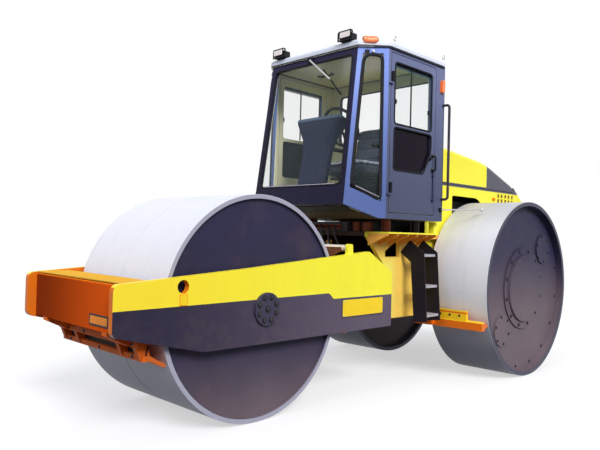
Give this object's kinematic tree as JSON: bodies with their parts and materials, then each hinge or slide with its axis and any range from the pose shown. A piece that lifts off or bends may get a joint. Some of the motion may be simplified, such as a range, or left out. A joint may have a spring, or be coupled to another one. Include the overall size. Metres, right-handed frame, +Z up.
{
  "type": "three-drum static road roller",
  "caption": "Articulated road roller: a wide front drum in a yoke, two large smooth rear drive wheels, a glazed cab and a sloping engine hood.",
  "frame": {"origin": "on the floor under the middle of the whole machine", "axes": "+X forward to the front drum, +Y to the machine's left, +Z up"},
  "size_m": [5.56, 2.236, 3.0499],
  "materials": {
    "paint_yellow": "gloss enamel",
    "paint_charcoal": "satin enamel",
    "paint_cab": "satin enamel",
    "paint_roof": "gloss enamel",
    "paint_orange": "satin enamel",
    "paint_black": "satin enamel",
    "drum_steel": "machined rolling face",
    "bright_steel": "ground rod",
    "cast_grey": "cast",
    "glass_tint": "safety glass",
    "amber": "clear amber lens",
    "trim_black": "grained",
    "seat_cloth": "woven"
  },
  "bodies": {
    "rear_frame": {"rear_axle": "cast_grey", "wheel_scrapers": "paint_orange", "rear_chassis": "paint_yellow", "pivot_pin": "bright_steel", "tail_counterweight": "paint_charcoal", "engine_block": "cast_grey", "engine_bay": "paint_yellow", "rear_grille": "paint_black", "cab_floor": "paint_cab", "cab_front": "paint_cab", "cab_corner_left": "paint_cab", "cab_corner_right": "paint_cab", "cab_side_left": "paint_cab", "cab_side_right": "paint_cab", "cab_rear": "paint_cab", "cab_roof": "paint_roof", "cab_glass": "glass_tint", "operator_seat": "seat_cloth", "dash_console": "trim_black", "steering_wheel": "trim_black", "ladders": "paint_black", "grab_rails": "paint_black", "cab_mounts": "paint_yellow", "work_lamps": "trim_black", "marker_lamps": "amber"},
    "front_frame": {"yoke_side_plates": "paint_yellow", "yoke_nose_beam": "paint_yellow", "yoke_rear_beam": "paint_yellow", "front_axle": "paint_charcoal", "drum_scraper_front": "paint_orange", "drum_scraper_rear": "paint_orange"},
    "drum_left": {"front_drum_left": "drum_steel"},
    "drum_right": {"front_drum_right": "drum_steel"},
    "wheel_left": {"rear_wheel_left": "drum_steel"},
    "wheel_right": {"rear_wheel_right": "drum_steel"},
    "barrel_left": {"steer_barrel_left": "paint_black"},
    "barrel_right": {"steer_barrel_right": "paint_black"},
    "rod_left": {"steer_rod_left": "bright_steel"},
    "rod_right": {"steer_rod_right": "bright_steel"},
    "left_door": {"door_left": "paint_cab", "door_glass_left": "glass_tint"},
    "right_door": {"door_right": "paint_cab", "door_glass_right": "glass_tint"},
    "engine_hood": {"hood": "paint_yellow"}
  },
  "joints": [
    {"name": "steer", "type": "hinge", "parent": "rear_frame", "child": "front_frame", "pos_m": [0, 0, 0.78], "axis": [0, 0, 1], "range_deg": [-30, 30]},
    {"name": "front_drum_left_spin", "type": "hinge", "parent": "front_frame", "child": "drum_left", "pos_m": [1.615, 0.28, 0.8], "axis": [0, 1, 0], "continuous": true},
    {"name": "front_drum_right_spin", "type": "hinge", "parent": "front_frame", "child": "drum_right", "pos_m": [1.615, -0.28, 0.8], "axis": [0, 1, 0], "continuous": true},
    {"name": "rear_wheel_left_spin", "type": "hinge", "parent": "rear_frame", "child": "wheel_left", "pos_m": [-1.42, 0.814, 0.85], "axis": [0, 1, 0], "continuous": true},
    {"name": "rear_wheel_right_spin", "type": "hinge", "parent": "rear_frame", "child": "wheel_right", "pos_m": [-1.42, -0.814, 0.85], "axis": [0, 1, 0], "continuous": true},
    {"name": "left_door_hinge", "type": "hinge", "parent": "rear_frame", "child": "left_door", "pos_m": [0.332, 0.711, 2.2], "axis": [0, 0, 1], "range_deg": [-90, 0]},
    {"name": "right_door_hinge", "type": "hinge", "parent": "rear_frame", "child": "right_door", "pos_m": [0.332, -0.711, 2.2], "axis": [0, 0, 1], "range_deg": [0, 90]},
    {"name": "hood_hinge", "type": "hinge", "parent": "rear_frame", "child": "engine_hood", "pos_m": [-2.32, 0, 1.942], "axis": [0, -1, 0], "range_deg": [0, 45]},
    {"name": "barrel_left_swing", "type": "hinge", "parent": "rear_frame", "child": "barrel_left", "pos_m": [-0.67, 0.2, 0.78], "axis": [0, 0, 1], "range_deg": [-5.3, 5.3]},
    {"name": "barrel_right_swing", "type": "hinge", "parent": "rear_frame", "child": "barrel_right", "pos_m": [-0.67, -0.2, 0.78], "axis": [0, 0, 1], "range_deg": [-5.3, 5.3]},
    {"name": "rod_left_slide", "type": "slide", "parent": "barrel_left", "child": "rod_left", "axis": [0.9919, 0.1272, 0], "range_m": [-0.146, 0.146]},
    {"name": "rod_right_slide", "type": "slide", "parent": "barrel_right", "child": "rod_right", "axis": [0.9919, -0.1272, 0], "range_m": [-0.146, 0.146]}
  ],
  "couplings": [
    {"joint": "barrel_left_swing", "follows": "steer", "ratio": 0.171},
    {"joint": "barrel_right_swing", "follows": "steer", "ratio": 0.171},
    {"joint": "rod_left_slide", "follows": "steer", "m_per_rad": -0.2764},
    {"joint": "rod_right_slide", "follows": "steer", "m_per_rad": 0.2764}
  ]
}
